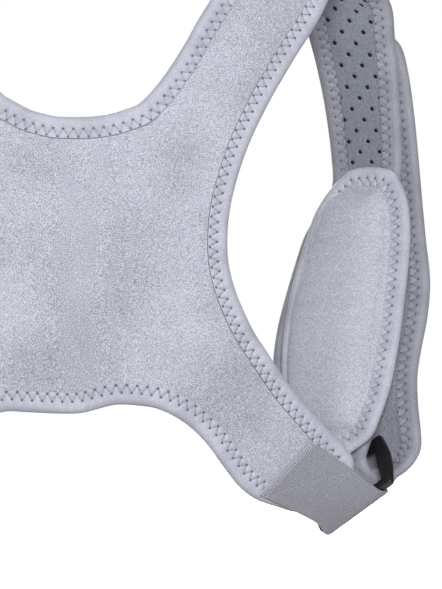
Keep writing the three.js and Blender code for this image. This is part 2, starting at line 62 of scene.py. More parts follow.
def smooth(points, parts=brace["fineness"]):
    ends = [points[0] * 2 - points[1], *points, points[-1] * 2 - points[-2]]
    made = []
    for a, b, c, d in zip(ends, ends[1:], ends[2:], ends[3:]):
        ab, bc, cd = [max((q - p).length, 1e-6) ** 0.5 for p, q in ((a, b), (b, c), (c, d))]
        start = ((b - a) / ab - (c - a) / (ab + bc) + (c - b) / bc) * bc
        end = ((c - b) / bc - (d - b) / (bc + cd) + (d - c) / cd) * bc
        for k in range(parts):
            t = k / parts
            made.append(
                b * (2 * t**3 - 3 * t**2 + 1)
                + start * (t**3 - 2 * t**2 + t)
                + c * (3 * t**2 - 2 * t**3)
                + end * (t**3 - t**2)
            )
    return made + [points[-1].copy()]


def onlySelect(*pieces):
    bpy.ops.object.select_all(action="DESELECT")
    for piece in pieces:
        piece.select_set(True)
    bpy.context.view_layer.objects.active = pieces[0]


def applyModifier(piece, kind, **settings):
    onlySelect(piece)
    bpy.ops.object.modifier_add(type=kind)
    modifier = piece.modifiers[-1]
    for name, value in settings.items():
        setattr(modifier, name, value)
    bpy.ops.object.modifier_apply(modifier=modifier.name)


def smoothShade(piece, angle=40):
    onlySelect(piece)
    bpy.ops.object.shade_smooth_by_angle(angle=math.radians(angle))


def meshPiece(name, points, faces, places=None):
    mesh = bpy.data.meshes.new(name)
    mesh.from_pydata(points, [], faces)
    if places:
        layer = mesh.uv_layers.new(name="cloth")
        for loop in mesh.loops:
            layer.data[loop.index].uv = places[loop.vertex_index]
    piece = bpy.data.objects.new(name, mesh)
    bpy.context.scene.collection.objects.link(piece)
    return piece


def outwards(piece):
    onlySelect(piece)
    bpy.ops.object.mode_set(mode="EDIT")
    bpy.ops.mesh.select_all(action="SELECT")
    bpy.ops.mesh.normals_make_consistent(inside=False)
    bpy.ops.object.mode_set(mode="OBJECT")


def otherSide(piece, name):  # the left piece, mirrored from the right one
    copy = piece.copy()
    copy.data = piece.data.copy()
    copy.name = copy.data.name = name
    bpy.context.scene.collection.objects.link(copy)
    copy.data.transform(Matrix.Scale(-1, 4, (1, 0, 0)))
    copy.data.flip_normals()
    return copy


# cloth sheets
class Cloth:  # the middle of a sheet, before it gets its thickness
    def __init__(self):
        self.points, self.places, self.cells = [], [], []

    def add(self, point, place=None):
        self.points.append(point)
        self.places.append(place or (point.x, point.z))
        return len(self.points) - 1

    def fill(self, rows):
        for last, row in zip(rows, rows[1:]):
            for j in range(1, len(row)):
                self.cells.append((last[j - 1], last[j], row[j], row[j - 1]))

    def piece(self, name, facing):
        made = meshPiece(name, self.points, self.cells, self.places)
        outwards(made)
        if made.data.polygons[0].normal.dot(facing) < 0:
            made.data.flip_normals()
        self.normals = [v.normal.copy() for v in made.data.vertices]
        return made

    def stations(self, pairs):
        return [(self.points[e], self.points[q], self.normals[e], self.normals[q]) for e, q in pairs]


binding = {
    "wide": 0.013,
    # its section, from the inner edge to the fold
    "across": [0.013, 0.0126, 0.0117, 0.0107, 0.009575, 0.00845, 0.007325, 0.0062, 0.0049, 0.003, 0.001],
    "thick": 0.001,
    "gap": 0.0003,
    "pitch": 0.006,  # of the zigzag
    "near": 0.0107,  # zigzag's two sides, from the folded edge inwards
    "far": 0.0062,
    "channel": 0.0007,  # half width of the channel that the thread pulls in
    "sunk": 0.0009,
    "puff": 0.0004,
    "thread": 0.00024,
    "needle": 0.0003,  # half width of a needle hole
    "cornerSunk": 1.3,
    "threadUp": [0.0001, 0.00028],  # at a needle hole, and between two
    "turnedIn": 0.0128,  # from here on the inner edge lies on the cloth
    "edgeHigh": 0.4,  # heights inside the zigzag, as shares of the tape's full height
    "flangeEnd": 0.012,
    "flangeHigh": 0.95,
    "flangeSunk": 0.3,
    "shoulderHigh": 1.1,
    "lobe": 0.002,  # the puffs reach this far past the zigzag
    "foldPuff": 0.8,
    "rimOut": 0.65,  # roundness of the fold, as shares of the tape and of half the cloth
    "rimUp": 0.75,
    "hidden": 0.0125,  # where its unseen inner face takes its tone from
    "lapThick": 0.0011,
    "lapLong": 0.014,
    "lapAt": 0.039,  # where the neck tape's ends meet
}


def underTape(outline, inwards, closed=False):
    count = len(outline)
    made = []
    for i, point in enumerate(outline):
        after = outline[(i + 1) % count] if closed or i + 1 < count else point
        before = outline[i - 1] if closed or i else point
        way = (after - before).normalized()
        inner = inwards[i] - point
        if closed or 0 < i < count - 1:
            inner -= way * inner.dot(way)
        inner.normalize()
        made.append((point + inner * (binding["gap"] + binding["thick"]), point + inner * binding["wide"]))
    return made


def zigzag(u):  # how far from the folded edge the thread lies, after u of tape
    share = (u / binding["pitch"]) % 1
    return binding["near"] + (binding["far"] - binding["near"]) * (1 - abs(2 * share - 1))


def tapeLift(u, q):  # outer face of the tape over the cloth
    full = binding["thick"] + binding["gap"]
    slope = 2 * (binding["near"] - binding["far"]) / binding["pitch"]
    away = abs(q - zigzag(u)) / math.sqrt(1 + slope**2)
    channel = math.exp(-((away / binding["channel"]) ** 2))
    corner = min(abs(q - binding["near"]), abs(q - binding["far"])) < binding["needle"]
    if q > binding["turnedIn"]:
        return full * binding["edgeHigh"]
    if q > binding["near"] + binding["needle"]:
        high = binding["flangeHigh"] if q > binding["flangeEnd"] else binding["shoulderHigh"]
        return full * high - binding["flangeSunk"] * binding["sunk"] * channel
    if q < binding["far"] - binding["lobe"]:
        rounding = math.sin(math.pi * min(1, q / binding["far"]))
        return full + binding["foldPuff"] * binding["puff"] * rounding
    sunk = binding["sunk"] * (binding["cornerSunk"] if corner else 1)
    return full + binding["puff"] * (1 - channel) - sunk * channel


def lapLift(x, lapAt):  # one end of the tape lies over the other
    if lapAt is None or x > lapAt:
        return 0
    return binding["lapThick"] * max(0, 1 - (lapAt - x) / binding["lapLong"])


def foldedTape(name, stations, closed=False, thick=brace["cloth"], lapAt=None):
    middle = [(e + q) / 2 for e, q, _, _ in stations]
    if closed:
        stations = [*stations, stations[0]]
        middle.append(middle[0])
    walked = [0]
    for a, b in zip(middle, middle[1:]):
        walked.append(walked[-1] + (b - a).length)
    perPitch = 8
    count = perPitch * round(walked[-1] / binding["pitch"])
    stretch = count / perPitch * binding["pitch"] / walked[-1]
    half = thick / 2
    points, places, threads, station = [], [], {1: [], -1: []}, 0
    for k in range(count + (0 if closed else 1)):
        target = walked[-1] * k / count
        while station < len(walked) - 2 and walked[station + 1] < target:
            station += 1
        t = (target - walked[station]) / max(walked[station + 1] - walked[station], 1e-9)
        edge, inset, edgeUp, insetUp = [a.lerp(b, t) for a, b in zip(stations[station], stations[station + 1])]
        inwards = inset - edge
        out = -inwards.normalized()
        u = target * stretch
        lap = lapLift(edge.x, lapAt)
        section = []
        for side in (1, -1):
            face = []
            for q in binding["across"]:
                share = min(1, q / inwards.length)
                up = edgeUp.lerp(insetUp, share).normalized()
                face.append((edge + inwards * share + up * side * (half + tapeLift(u, q) + lap), q))
            rim = edge + out * (binding["gap"] + binding["rimOut"] * binding["thick"])
            section.append(face + [(rim + edgeUp * side * half * binding["rimUp"], 0)])
        front, back = section
        tip = edge + out * (binding["gap"] + binding["thick"])
        turn = edge + out * binding["gap"]
        inside = [(inset, insetUp, -1), (turn, edgeUp, -1), (turn, edgeUp, 1), (inset, insetUp, 1)]
        under = [(p + up * side * (half + 0.5 * binding["gap"]), binding["hidden"]) for p, up, side in inside]
        ring = front + [(tip, 0)] + back[::-1] + under
        points += [p for p, _ in ring]
        places += [(u, q) for _, q in ring]
        if k % 2 == 0:
            for side in (1, -1):
                q = zigzag(u)
                share = q / inwards.length
                up = edgeUp.lerp(insetUp, share).normalized()
                rise = half + tapeLift(u, q) + lap + binding["threadUp"][k % 4 // 2]
                threads[side].append(edge + inwards * share + up * side * rise)
    wide = len(points) // (count + (0 if closed else 1))
    faces = []
    for i in range(count):
        j = (i + 1) % count if closed else i + 1
        for k in range(wide):
            l = (k + 1) % wide
            faces.append((i * wide + k, i * wide + l, j * wide + l, j * wide + k))
    if not closed:
        low = wide - 4
        for i in (0, count):
            loop = [i * wide + k for k in range(wide)]
            frontHalf = loop[: (low + 1) // 2] + [loop[-2], loop[-1]]
            backHalf = loop[(low - 1) // 2 : low] + [loop[low], loop[low + 1], loop[low + 2]]
            faces += [frontHalf, backHalf]
    tape = meshPiece(name, points, faces, places)
    outwards(tape)
    smoothShade(tape, 60)
    return tape, threadPiece(name + "_stitch", threads.values(), closed)


def threadPiece(name, lines, closed=False, radius=binding["thread"]):
    curve = bpy.data.curves.new(name, "CURVE")
    curve.dimensions = "3D"
    curve.bevel_depth = radius
    curve.bevel_resolution = 0
    curve.use_fill_caps = not closed
    for line in lines:
        spline = curve.splines.new("POLY")
        spline.points.add(len(line) - 1)
        spline.use_cyclic_u = closed
        for point, place in zip(spline.points, line):
            point.co = (*place, 1)
    piece = bpy.data.objects.new(name, curve)
    bpy.context.scene.collection.objects.link(piece)
    onlySelect(piece)
    bpy.ops.object.convert(target="MESH")
    piece = bpy.context.object
    smoothShade(piece, 80)
    return piece


def ruffled(piece, size, depth, seed):  # soft unevenness of cloth
    for vertex in piece.data.vertices:
        vertex.co += vertex.normal * depth * noise.noise(vertex.co / size + Vector((seed, 0, 0)))


def wallSheet(piece, thick=brace["cloth"]):
    for _ in range(2):  # a slot for each face of the cloth
        piece.data.materials.append(None)
    applyModifier(piece, "SOLIDIFY", thickness=thick, offset=0, material_offset=1)
    smoothShade(piece, 50)


# back panel
panelForm = {
    "bowRadius": 0.322,
    "bowEnd": 0.110,
    "twistLength": 0.075,
    "twistSlope": 0.84,
    "twistAngle": 50,
    "acrossStrap": 10,
    "flatBelow": 0.02,  # under the lowest row of strapTop by this much, the cloth lies on the back
    "ruffle": {"size": 0.05, "depth": 0.0006, "seed": 3},
    "foldAt": 0.062,
    "foldWide": 0.012,
    "foldLow": -0.25,
    "foldDeep": 0.0036,
    "foldTop": -0.125,
    "foldStart": 0.012,  # it deepens over this length from its top, and fades over the next
    "foldFade": 0.09,
    "neckRight": [[0.154, 0.613], [0.123, 0.603], [0.092, 0.595], [0.061, 0.59], [0.031, 0.587], [0, 0.586]],
    "neckLeft": [[0.164, 0.612], [0.129, 0.599], [0.096, 0.592], [0.064, 0.587], [0.031, 0.586], [0, 0.586]],
    "hemRight": [[0.253, -0.011], [0.202, 0.007], [0.149, 0.014], [0.092, 0.016], [0.044, 0.008], [0, 0]],
    "hemLeft": [[0.253, -0.011], [0.202, 0.003], [0.149, 0.002], [0.092, 0], [0.044, -0.001], [0, 0]],
    "waist": [[0.399, 0.399], [0.393, 0.35], [0.396, 0.297], [0.412, 0.248], [0.436, 0.203]],
    "strap": [
        [0.414, 0.451, 0.154, 0.613],
        [0.45, 0.531, 0.209, 0.656],
        [0.509, 0.621, 0.273, 0.727],
        [0.55, 0.673, 0.315, 0.783],
    ],
    "strapLeft": [[0.164, 0.612], [0.214, 0.636], [0.278, 0.703], [0.315, 0.775]],
    "strapTop": [
        [0.585, 0.188, 0.716, 0.346, 0.068, 0.82],
        [0.645, 0.227, 0.784, 0.399, 0.113, 0.886],
        [0.689, 0.291, 0.85, 0.443, 0.191, 0.941],
        [0.715, 0.369, 0.892, 0.474, 0.305, 0.98],
        [0.737, 0.4455, 0.918, 0.497, 0.439, 1],
    ],
    "lobe": [
        [0.469, 0.154, 0.253, -0.011],
        [0.496, 0.124, 0.294, -0.033],
        [0.527, 0.089, 0.336, -0.065],
        [0.562, 0.052, 0.378, -0.109],
        [0.619, 0.002, 0.424, -0.154],
        [0.675, -0.044, 0.472, -0.183],
        [0.722, -0.079, 0.534, -0.203],
        [0.748, -0.108, 0.575, -0.214],
        [0.75, -0.131, 0.609, -0.22],
    ],
}
webForm = {
    "sewn": [[0.475, -0.169], [0.619, -0.065]],
    "folded": [[0.712, -0.255], [0.841, -0.175]],
    "thick": 0.0016,
    "offset": 0.0044,  # its middle to the lobe's middle
    "foldRadius": 0.0054,
    "foldLead": 0.006,
    "flare": 0.12,  # widening of the outer leg at the ring's lower end, as a share of its width
    "flareAt": 0.93,
    "flareLong": 0.13,
    "foldFlare": 0.93,  # what is left of it where the band turns, and how it fades behind
    "foldFade": 0.6,
    "across": 12,
    "legRows": 24,
    "foldRows": 12,
}
webMiddle = [(a + b) / 2 for a, b in zip(*webForm["folded"])]


def onPanel(x, z):
    out, up = abs(x), z + brace["mountHigh"]
    end = panelForm["bowEnd"]
    bow = (out**2 if out < end else end * (2 * out - end)) / (2 * panelForm["bowRadius"])
    turn = math.radians(panelForm["twistAngle"])
    dx, dz = out - webMiddle[0] * brace["halfSpan"], up - webMiddle[1] * brace["strapRise"]
    down = math.cos(turn) * dx - math.sin(turn) * dz
    side = math.sin(turn) * dx + math.cos(turn) * dz
    length = panelForm["twistLength"]
    twist = side * panelForm["twistSlope"] * max(0, (down + length) / length) ** 2
    return Vector((x, bow - twist - brace["mountDeep"], z))


def panelSpot(x, z, side=1):
    return onPanel(x * brace["halfSpan"] * side, z * brace["strapRise"] - brace["mountHigh"])


def backPanelCloth():
    cloth = Cloth()
    parts = brace["fineness"]
    form = panelForm

    def backStrapRows(side):
        necks = [r[2:] for r in form["strap"]] if side > 0 else form["strapLeft"]
        low = [(panelSpot(*r[:2], side), panelSpot(*n, side)) for r, n in zip(form["strap"], necks)]
        high = [(spot(r[0] * side, *r[1:3]), spot(r[3] * side, *r[4:])) for r in form["strapTop"]]
        return low + high

    def lobeRows(side):
        return [(panelSpot(r[0], r[1], side), panelSpot(r[2], r[3], side)) for r in form["lobe"]]

    def stationsOf(outline, inwards):
        made = []
        flatFrom = spot(*form["strapTop"][0][:3]).z - form["flatBelow"]
        for edge, inset in underTape(smooth(outline), smooth(inwards)):
            if edge.z < flatFrom:
                edge, inset = onPanel(edge.x, edge.z), onPanel(inset.x, inset.z)
            made.append((cloth.add(edge), cloth.add(inset)))
        return made

    def armEdge(side):
        strap, foot = backStrapRows(side)[::-1], lobeRows(side)
        rim = [panelSpot(x, z, side) for x, z in form["waist"]]
        outline = [r[0] for r in strap] + rim + [r[0] for r in foot]
        inwards = [r[1] for r in strap] + [Vector((0, p.y, p.z)) for p in rim] + [r[1] for r in foot]
        return stationsOf(outline, inwards)

    def inner(table, side):
        return [panelSpot(x, z, side) for x, z in table[1:]]

    arms = {side: armEdge(side) for side in (1, -1)}
    upRight, upLeft = backStrapRows(1)[::-1], backStrapRows(-1)
    middle = inner(form["neckRight"], 1) + inner(form["neckLeft"], -1)[::-1][1:]
    below = [Vector((p.x, p.y, -brace["mountHigh"])) for p in middle]
    neck = stationsOf(
        [r[1] for r in upRight] + middle + [r[1] for r in upLeft],
        [r[0] for r in upRight] + below + [r[0] for r in upLeft],
    )
    downRight, downLeft = lobeRows(1)[::-1], lobeRows(-1)
    middle = inner(form["hemRight"], 1) + inner(form["hemLeft"], -1)[::-1][1:]
    above = [Vector((p.x, p.y, brace["strapRise"] - brace["mountHigh"])) for p in middle]
    hem = stationsOf(
        [r[1] for r in downRight] + middle + [r[1] for r in downLeft],
        [r[0] for r in downRight] + above + [r[0] for r in downLeft],
    )
    n = (len(upRight) - 1) * parts + 1
    m = (len(downRight) - 1) * parts + 1
    lobeStart = (len(upRight) + len(form["waist"])) * parts
    freeRows = len(form["strapTop"]) * parts

    def row(a, b, flat):
        made = [a]
        for k in range(1, form["acrossStrap"]):
            p = cloth.points[a].lerp(cloth.points[b], k / form["acrossStrap"])
            made.append(cloth.add(onPanel(p.x, p.z) if flat else p))
        return made + [b]

    cores = {}
    for side in (1, -1):
        necks = neck[:n] if side > 0 else neck[-n:][::-1]
        hems = hem[:m][::-1] if side > 0 else hem[-m:]
        strapCore = [row(arms[side][i][1], necks[i][1], i > freeRows) for i in range(n)]
        lobeCore = [row(arms[side][lobeStart + i][1], hems[i][1], True) for i in range(m)]
        cloth.fill(strapCore)
        cloth.fill(lobeCore)
        cores[side] = (strapCore, lobeCore, [s[1] for s in arms[side][n - 1 : lobeStart + 1]])
    top = cores[1][0][n - 1] + [s[1] for s in neck[n:-n]] + cores[-1][0][n - 1][::-1]
    low = cores[1][1][0] + [s[1] for s in hem[m:-m]] + cores[-1][1][0][::-1]
    sideA, sideB = cores[1][2], cores[-1][2]
    down, wide = len(sideA) - 1, len(top) - 1
    block = [top]
    for i in range(1, down):
        made, v = [sideA[i]], i / down
        for j in range(1, wide):
            u = j / wide
            get = cloth.points.__getitem__
            p = get(top[j]) * (1 - v) + get(low[j]) * v + get(sideA[i]) * (1 - u) + get(sideB[i]) * u
            p -= get(top[0]) * (1 - u) * (1 - v) + get(top[wide]) * u * (1 - v)
            p -= get(low[0]) * (1 - u) * v + get(low[wide]) * u * v
            made.append(cloth.add(onPanel(p.x, p.z)))
        block.append(made + [sideB[i]])
    block.append(low)
    cloth.fill(block)
    for stations in (arms[1], arms[-1], neck, hem):
        cloth.fill(stations)
    return cloth, arms, neck, hem


cloth, arms, neck, hem = backPanelCloth()
backPanel = cloth.piece("panel_cloth", Vector((0, -1, 0.3)))
wallSheet(backPanel)
ruffled(backPanel, **panelForm["ruffle"])
for vertex in backPanel.data.vertices:  # a soft fold hangs from the neck, right of the middle
    across = (vertex.co.x - panelForm["foldAt"]) / panelForm["foldWide"]
    above = between((vertex.co.z - panelForm["foldLow"]) / panelForm["foldFade"])
    below = between((panelForm["foldTop"] - vertex.co.z) / panelForm["foldStart"])
    vertex.co.y += panelForm["foldDeep"] * math.exp(-(across**2)) * above * below
panelEdges = {
    "neck_binding": neck,
    "hem_binding": hem,
    "armhole_binding_right": arms[1],
    "armhole_binding_left": arms[-1],
}
panelTapes = {}
for name, pairs in panelEdges.items():
    lapAt = binding["lapAt"] if name == "neck_binding" else None
    panelTapes[name] = foldedTape(name.replace("binding", "tape"), cloth.stations(pairs), lapAt=lapAt)
print("back panel and its tapes made")

# webbing and ring
ringForm = {
    "long": 0.06,
    "high": 0.042,
    "bar": 0.007,
    "thick": 0.005,
    "corner": 0.0125,
    "round": 0.0019,  # of the bar's edges
    "lean": -0.1,
    "cuts": 3,  # on each side of the middle, so that the ends can bulge
    "cutGap": 0.0026,
    "endFrom": 0.3,  # a vertex bulges past this share of the corner
    "endBulge": 0.003,
    "endFlat": 0.003,
    "shift": 0.0015,
}


def webSpot(s, w):
    mixed = []
    for k in (0, 1):
        sewn = (1 - w) * webForm["sewn"][0][k] + w * webForm["sewn"][1][k]
        folded = (1 - w) * webForm["folded"][0][k] + w * webForm["folded"][1][k]
        mixed.append((1 - s) * sewn + s * folded)
    return panelSpot(*mixed)


webLength = (webSpot(1, 0.5) - webSpot(0, 0.5)).length
foldShare = 1 - webForm["foldLead"] / webLength


def webAt(s, w):
    step = 0.02
    down = (webSpot(s + step, w) - webSpot(s - step, w)).normalized()
    side = (webSpot(s, w + step) - webSpot(s, w - step)).normalized()
    out = side.cross(down).normalized()
    return down, -out if out.y > 0 else out


def webLayer(s, w, side, lift=0):
    offset = webForm["offset"] + (webForm["foldRadius"] - webForm["offset"]) * (s / foldShare) ** 2
    flared = w
    if side > 0:  # the outer layer rides over the ring's lower end
        near = math.exp(-(((s - webForm["flareAt"]) / webForm["flareLong"]) ** 2))
        flared -= webForm["flare"] * near * max(0, 1 - 2 * w)
    return webSpot(s, flared) + webAt(s, w)[1] * side * (offset + lift)


def webbingCloth():
    cloth = Cloth()
    rows, walked = [], 0
    stops = [(1, foldShare * k / webForm["legRows"]) for k in range(webForm["legRows"])]
    stops += [(0, math.pi * k / webForm["foldRows"]) for k in range(webForm["foldRows"] + 1)]
    stops += [(-1, foldShare * k / webForm["legRows"]) for k in range(webForm["legRows"] - 1, -1, -1)]
    last = None
    for side, value in stops:
        line = []
        for j in range(webForm["across"] + 1):
            w = j / webForm["across"]
            if side:
                line.append(webLayer(value, w, side))
            else:
                down, out = webAt(foldShare, w)
                fade = max(0, math.cos(value)) ** webForm["foldFade"]
                flared = w - webForm["flare"] * webForm["foldFlare"] * max(0, 1 - 2 * w) * fade
                turned = out * math.cos(value) + down * math.sin(value)
                line.append(webSpot(foldShare, flared) + turned * webForm["foldRadius"])
        middle = line[len(line) // 2]
        walked += (middle - last).length if last else 0
        last = middle
        rows.append([cloth.add(p, (walked, (p - line[0]).length)) for p in line])
    cloth.fill(rows)
    return cloth


webbing = webbingCloth().piece("webbing_right_band", Vector((0, -1, 0)))
wallSheet(webbing, webForm["thick"])


boxX = {
    "from": 0.1,
    "to": 0.56,
    "low": 0.07,
    "high": 0.93,
    "lift": 0.00078,
    "thread": 0.0002,
    "hemAt": 0.015,  # zigzag along the sewn edge
    "hemWide": 0.06,
    "hemMargin": 0.02,
    "hemTurns": 72,
    "hemLift": 0.00095,
}


def webLine(ends, side, count=14):
    (s0, w0), (s1, w1) = ends
    shares = [k / count for k in range(count + 1)]
    return [webLayer(s0 + (s1 - s0) * t, w0 + (w1 - w0) * t, side, boxX["lift"]) for t in shares]


a, b, c, d = boxX["from"], boxX["to"], boxX["low"], boxX["high"]
lines = []
for side in (1, -1):
    for ends in (((a, c), (b, c)), ((a, d), (b, d)), ((b, c), (b, d)), ((a, c), (b, d)), ((a, d), (b, c))):
        lines.append(webLine(ends, side))
    hemLine = []
    for k in range(boxX["hemTurns"] + 1):
        w = boxX["hemMargin"] + (1 - 2 * boxX["hemMargin"]) * k / boxX["hemTurns"]
        hemLine.append(webLayer(boxX["hemAt"] + boxX["hemWide"] * (k % 2), w, side, boxX["hemLift"]))
    lines.append(hemLine)
webStitch = threadPiece("webbing_right_stitch", lines, radius=boxX["thread"])

low, high = webSpot(foldShare, 0), webSpot(foldShare, 1)
bar = (high - low).normalized()
rise = Vector((ringForm["lean"], -(ringForm["lean"] * bar.x + bar.z) / bar.y, 1)).normalized()
face = bar.cross(rise)
ringLower = ((low + high) / 2 + webSpot(foldShare, 0.5)) / 2
ringUpper = ringLower + rise * (ringForm["high"] - ringForm["bar"])

bpy.ops.object.select_all(action="DESELECT")
bpy.ops.mesh.primitive_cube_add(size=1)
ring = bpy.context.object
ring.name = ring.data.name = "ring_right_loop"
ring.scale = (ringForm["long"], ringForm["high"], ringForm["thick"])
bpy.ops.object.transform_apply(location=False, rotation=False, scale=True)
bpy.ops.object.mode_set(mode="EDIT")
bpy.ops.mesh.select_all(action="DESELECT")
work = bmesh.from_edit_mesh(ring.data)
for edge in work.edges:
    way = edge.verts[1].co - edge.verts[0].co
    edge.select_set(abs(way.z) > abs(way.x) + abs(way.y))
bmesh.update_edit_mesh(ring.data)
bpy.ops.mesh.bevel(offset=ringForm["corner"], segments=10)
bpy.ops.mesh.select_all(action="DESELECT")
work = bmesh.from_edit_mesh(ring.data)
for side in work.faces:
    side.select_set(abs(side.normal.z) > 0.9)
bmesh.update_edit_mesh(ring.data)
bpy.ops.mesh.inset(thickness=ringForm["bar"], depth=0)
bpy.ops.mesh.bridge_edge_loops()
for k in range(-ringForm["cuts"], ringForm["cuts"] + 1):
    bpy.ops.mesh.select_all(action="SELECT")
    bpy.ops.mesh.bisect(plane_co=(0, ringForm["cutGap"] * k, 0), plane_no=(0, 1, 0))
bpy.ops.mesh.select_all(action="SELECT")
bpy.ops.mesh.normals_make_consistent(inside=False)
bpy.ops.object.mode_set(mode="OBJECT")
for vertex in ring.data.vertices:  # round ends
    if abs(vertex.co.x) > ringForm["long"] / 2 - ringForm["corner"] * ringForm["endFrom"]:
        swell = max(0, 1 - (vertex.co.y / (ringForm["high"] / 2 - ringForm["endFlat"])) ** 2)
        vertex.co.x += math.copysign(ringForm["endBulge"] * swell, vertex.co.x)
applyModifier(
    ring, "BEVEL", width=ringForm["round"], segments=4, limit_method="ANGLE", angle_limit=math.radians(50)
)
ringMiddle = (ringLower + ringUpper) / 2 + bar * ringForm["shift"]
ring.data.transform(Matrix.Translation(ringMiddle) @ Matrix([bar, rise, face]).transposed().to_4x4())
smoothShade(ring, 50)
print("webbing and ring made")

# shoulder strap
strapForm = {
    "neckHalf": 0.022,
    "neckRadius": 0.0079,
    "neckDrop": 0.007,
    "neckTilt": [12, 23],
    "neckRows": 8,
    "tipBulge": 0.007,
    "cells": 6,
    "front": [
        [0.497, 0.4415, 1, 0.737, 0.448, 0.918],
        [0.513, 0.582, 0.993, 0.768, 0.539, 0.918],
        [0.539, 0.695, 0.964, 0.807, 0.624, 0.905],
        [0.583, 0.759, 0.915, 0.855, 0.695, 0.882],
        [0.632, 0.794, 0.853, 0.895, 0.745, 0.843],
        [0.661, 0.83, 0.778, 0.905, 0.745, 0.776],
        [0.684, 0.872, 0.725, 0.912, 0.742, 0.722],
        [0.711, 0.912, 0.645, 0.919, 0.733, 0.641],
        [0.735, 0.926, 0.526, 0.924, 0.719, 0.525],
        [0.735, 0.898, 0.454, 0.92, 0.705, 0.454],
        [0.7, 0.889, 0.405, 0.926, 0.671, 0.405],
        [0.655, 0.876, 0.351, 0.934, 0.642, 0.351],
        [0.628, 0.853, 0.297, 0.934, 0.608, 0.297],
        [0.6, 0.826, 0.232, 0.921, 0.565, 0.234],
        [0.568, 0.783, 0.147, 0.904, 0.508, 0.15],
        [0.554, 0.748, 0.077, 0.879, 0.465, 0.084],
        [0.556, 0.702, -0.003, 0.851, 0.403, 0.008],
        [0.584, 0.656, -0.065, 0.82, 0.379, -0.054],
        [0.65, 0.589, -0.14, 0.805, 0.369, -0.073],
    ],
    "folded": [
        [0.712, 0.61, -0.162, 0.866, 0.358, -0.147],
        [0.715, 0.621, -0.144, 0.899, 0.355, -0.139],
        [0.716, 0.624, -0.127, 0.928, 0.355, -0.119],
        [0.718, 0.628, -0.101, 0.945, 0.355, -0.092],
        [0.718, 0.635, -0.056, 0.945, 0.365, -0.052],
        [0.713, 0.652, -0.005, 0.943, 0.411, -0.005],
        [0.709, 0.681, 0.054, 0.947, 0.475, 0.054],
        [0.718, 0.716, 0.102, 0.96, 0.518, 0.102],
        [0.738, 0.755, 0.178, 0.984, 0.562, 0.178],
        [0.752, 0.812, 0.253, 0.997, 0.617, 0.253],
        [0.752, 0.884, 0.342, 0.991, 0.685, 0.342],
        [0.751, 0.952, 0.426, 0.983, 0.721, 0.426],
        [0.745, 0.99, 0.526, 0.974, 0.755, 0.526],
        [0.728, 0.984, 0.608, 0.964, 0.766, 0.608],
        [0.702, 0.955, 0.707, 0.947, 0.787, 0.707],
        [0.703, 0.925, 0.76, 0.928, 0.807, 0.76],
        [0.722, 0.908, 0.785, 0.9, 0.83, 0.785],
    ],
}


def endPoints(row, beyond, bulge, cells):
    across = row[1] - row[0]
    way = (row[0] + row[1]) / 2 - beyond
    way = (way - across * (way.dot(across) / across.length_squared)).normalized()
    shares = [(k + 1) / cells for k in range(cells - 1)]
    return [row[0].lerp(row[1], s) + way * bulge * math.sqrt(1 - (2 * s - 1) ** 2) for s in shares]


def bandCloth(rows, cells, startBulge=0, endBulge=0):
    cloth = Cloth()
    firsts, seconds = smooth([r[0] for r in rows]), smooth([r[1] for r in rows])
    rows = list(zip(firsts, seconds))
    mids = [(a + b) / 2 for a, b in rows]
    walked = [0]
    for a, b in zip(mids, mids[1:]):
        walked.append(walked[-1] + (b - a).length)
    count = len(rows)
    nearStart, nearEnd = mids[3], mids[-4]  # the tape of a rounded end faces these
    start = endPoints(rows[0], nearStart, startBulge, cells) if startBulge else []
    end = endPoints(rows[-1], nearEnd, endBulge, cells) if endBulge else []
    outline = firsts + end + seconds[::-1] + start[::-1]
    inwards = mids + [nearEnd] * len(end) + mids[::-1] + [nearStart] * len(start)
    lengths = walked + [walked[-1]] * len(end) + walked[::-1] + [0] * len(start)

    def place(point, length):
        near = min(range(count), key=lambda i: abs(walked[i] - length))
        way = (rows[near][1] - rows[near][0]).normalized()
        return (length, (point - rows[near][0]).dot(way))

    pairs = [
        tuple(cloth.add(p, place(p, length)) for p in pair)
        for pair, length in zip(underTape(outline, inwards, bool(startBulge)), lengths)
    ]
    first, second = pairs[:count], pairs[count + len(end) : 2 * count + len(end)][::-1]
    core = []
    for i in range(count):
        if endBulge and i == count - 1:
            core.append([s[1] for s in pairs[count - 1 : count + len(end) + 1]])
        elif startBulge and i == 0:
            core.append([s[1] for s in [first[0], *pairs[2 * count + len(end) :][::-1], second[0]]])
        else:
            a, b = cloth.points[first[i][1]], cloth.points[second[i][1]]
            middle = [a.lerp(b, k / cells) for k in range(1, cells)]
            core.append([first[i][1], *[cloth.add(p, place(p, walked[i])) for p in middle], second[i][1]])
    cloth.fill(core)
    if endBulge:
        cloth.fill(pairs)
    else:
        cloth.fill(first)
        cloth.fill(second)
    if startBulge:
        cloth.fill([pairs[-1], pairs[0]])
    return cloth, pairs, core


def strapRows():
    made = [(spot(*r[:3]), spot(*r[3:])) for r in strapForm["front"]]
    centre = ringUpper - rise * strapForm["neckDrop"]
    enters, leaves = strapForm["neckTilt"]
    for k in range(strapForm["neckRows"] + 1):
        share = k / strapForm["neckRows"]
        tilt = math.radians(enters + (leaves - enters) * share)
        line = bar * math.cos(tilt) - rise * math.sin(tilt)
        drop = -rise * math.cos(tilt) - bar * math.sin(tilt)
        angle = math.pi * share
        p = centre + (face * math.cos(angle) + drop * math.sin(angle)) * strapForm["neckRadius"]
        made.append((p - line * strapForm["neckHalf"], p + line * strapForm["neckHalf"]))
    return made + [(spot(*r[:3]), spot(*r[3:])) for r in strapForm["folded"]]


strapCloth, strapPairs, strapCore = bandCloth(strapRows(), strapForm["cells"], endBulge=strapForm["tipBulge"])
shoulderStrap = strapCloth.piece("strap_right_cloth", Vector((0, 0, -1)))
wallSheet(shoulderStrap)
strapTape, strapStitch = foldedTape("strap_right_tape", strapCloth.stations(strapPairs))
print("shoulder strap made")

